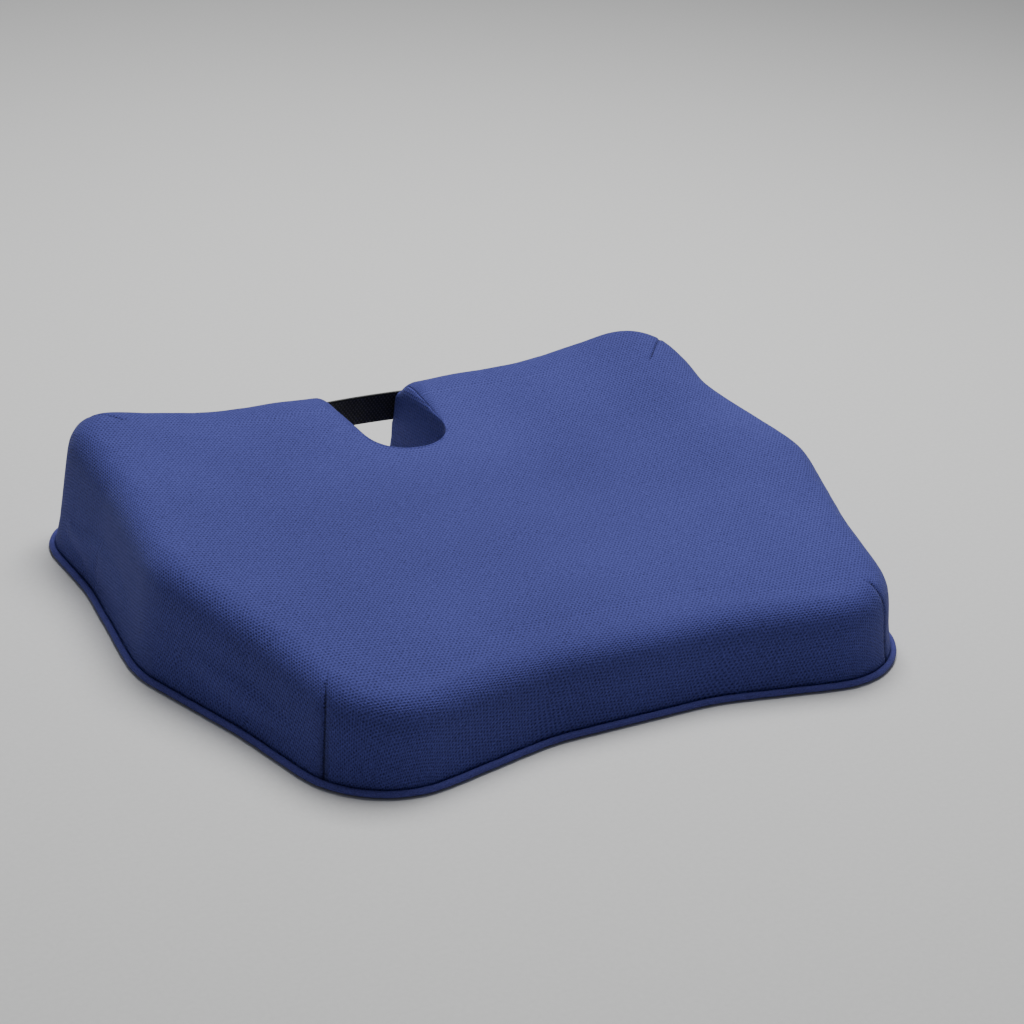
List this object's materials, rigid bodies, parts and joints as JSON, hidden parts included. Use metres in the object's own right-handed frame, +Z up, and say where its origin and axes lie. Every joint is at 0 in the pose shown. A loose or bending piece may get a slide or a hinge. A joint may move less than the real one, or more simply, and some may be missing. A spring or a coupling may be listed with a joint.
{
  "type": "seat cushion",
  "caption": "Wedge-shaped memory-foam seat cushion with a tailbone notch, gel pad, zipped knitted cover and webbing carry handle.",
  "frame": {"origin": "middle of the footprint, on the surface that the cushion rests on", "axes": "+X across the width to the sitter's left when facing the front edge, +Y from the front edge towards the notch at the back, +Z up"},
  "size_m": [0.4462, 0.3627, 0.0819],
  "materials": {
    "cover_knit": "navy polyester knit, matt with a slight sheen",
    "underside_fabric": "dark woven fabric with rubber grip dots",
    "piping_knit": "navy knit, slightly lighter than the cover",
    "filler_cord": "undyed twisted cord",
    "memory_foam": "open-cell foam, cream",
    "cooling_gel": "soft translucent blue gel",
    "gel_film": "thin clear blue film",
    "zip_tape": "woven polyester tape, dark navy",
    "zip_coil": "nylon coil, dark navy",
    "zip_metal": "dull nickel plate",
    "webbing": "black woven polypropylene webbing",
    "thread": "black polyester thread",
    "label_tape": "white woven label tape, blank"
  },
  "bodies": {
    "cushion": {"foam_core": "memory_foam", "gel_pad": "cooling_gel", "gel_film": "gel_film", "cover_top_panel": "cover_knit", "cover_notch_band": "cover_knit", "cover_bottom_front": "underside_fabric", "cover_bottom_rear": "underside_fabric", "piping_cord": "filler_cord", "piping_fabric": "piping_knit", "zip_tape_front": "zip_tape", "zip_tape_rear": "zip_tape", "zip_coil_front": "zip_coil", "zip_coil_rear": "zip_coil", "zip_bottom_stop": "zip_metal", "zip_top_stops": "zip_metal", "zip_end_tab_left": "underside_fabric", "zip_end_tab_right": "underside_fabric", "handle_end_left": "webbing", "handle_end_right": "webbing", "handle_bar_tacks": "thread", "care_label": "label_tape"},
    "handle": {"handle_webbing": "webbing"},
    "slider": {"zip_slider": "zip_metal"},
    "pull": {"zip_pull": "zip_metal"}
  },
  "joints": [
    {"name": "handle_pull", "type": "slide", "parent": "cushion", "child": "handle", "axis": [0, 1, 0], "range_m": [0, 0.012], "stiffness_N_per_m": 40},
    {"name": "zip_slide", "type": "slide", "parent": "cushion", "child": "slider", "axis": [1, 0, 0], "range_m": [-0.285, 0]},
    {"name": "pull_flip", "type": "hinge", "parent": "slider", "child": "pull", "pos_m": [0.148, 0.03, 0.0025], "axis": [0, -1, 0], "range_deg": [0, 175]}
  ]
}
